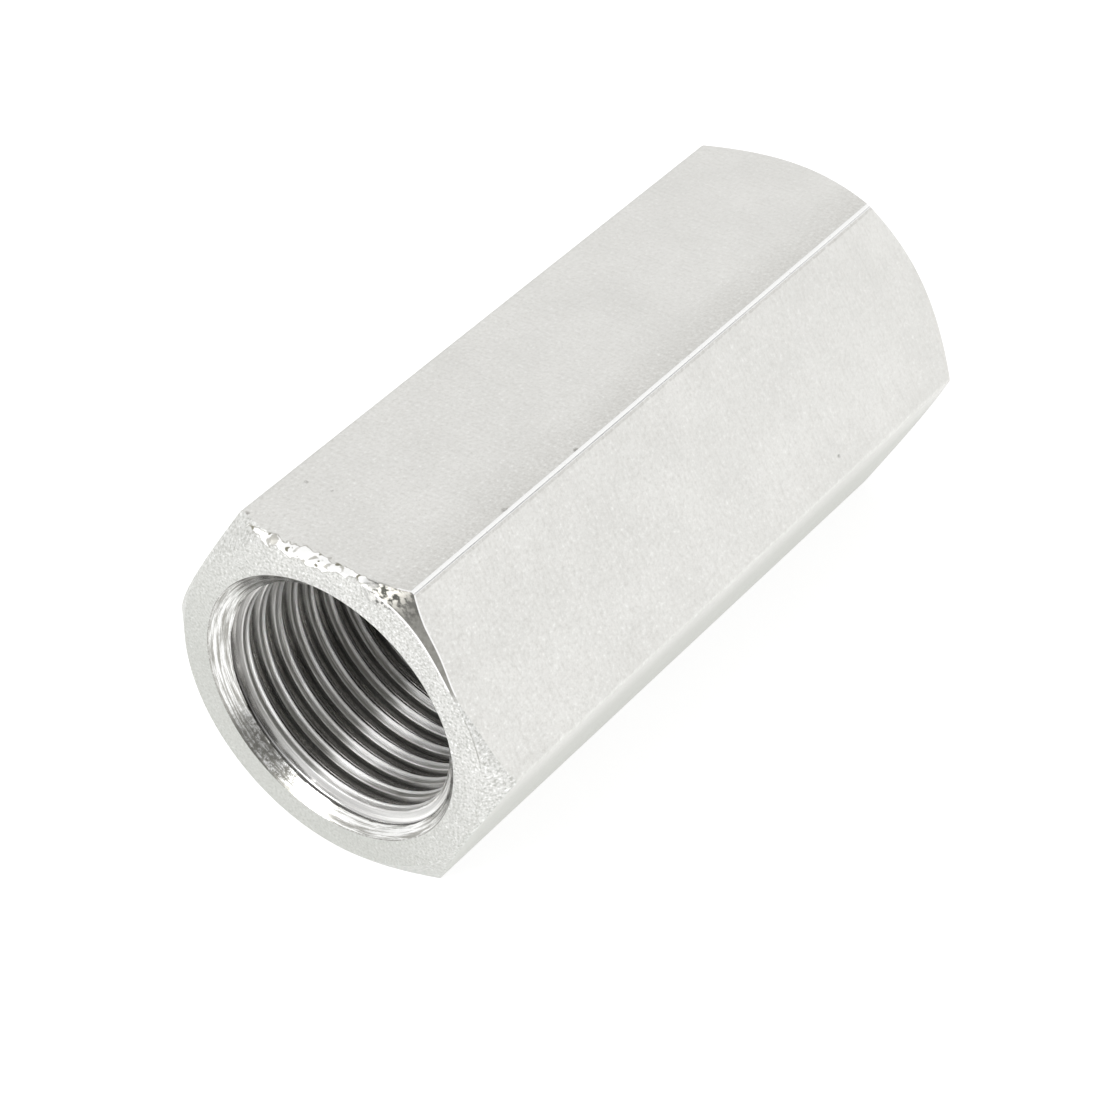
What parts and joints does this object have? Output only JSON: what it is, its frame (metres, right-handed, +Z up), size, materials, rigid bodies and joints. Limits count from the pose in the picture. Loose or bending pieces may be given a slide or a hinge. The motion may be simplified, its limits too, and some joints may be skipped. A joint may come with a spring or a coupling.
{
  "type": "pipe coupling",
  "caption": "Long hexagon pipe coupling with a female pipe thread in each end, countersunk mouths and chamfered corners.",
  "frame": {"origin": "on the bore axis, halfway between the two end faces", "axes": "+X along the bore towards end B, +Z up with the bar lying on a flat, so the flats face +Z and -Z and two corners point along +Y and -Y"},
  "size_m": [0.06, 0.031, 0.027],
  "materials": {
    "plated_steel": "satin nickel plate over machined and drawn steel"
  },
  "bodies": {
    "root": {"coupling_body": "plated_steel"}
  },
  "joints": []
}
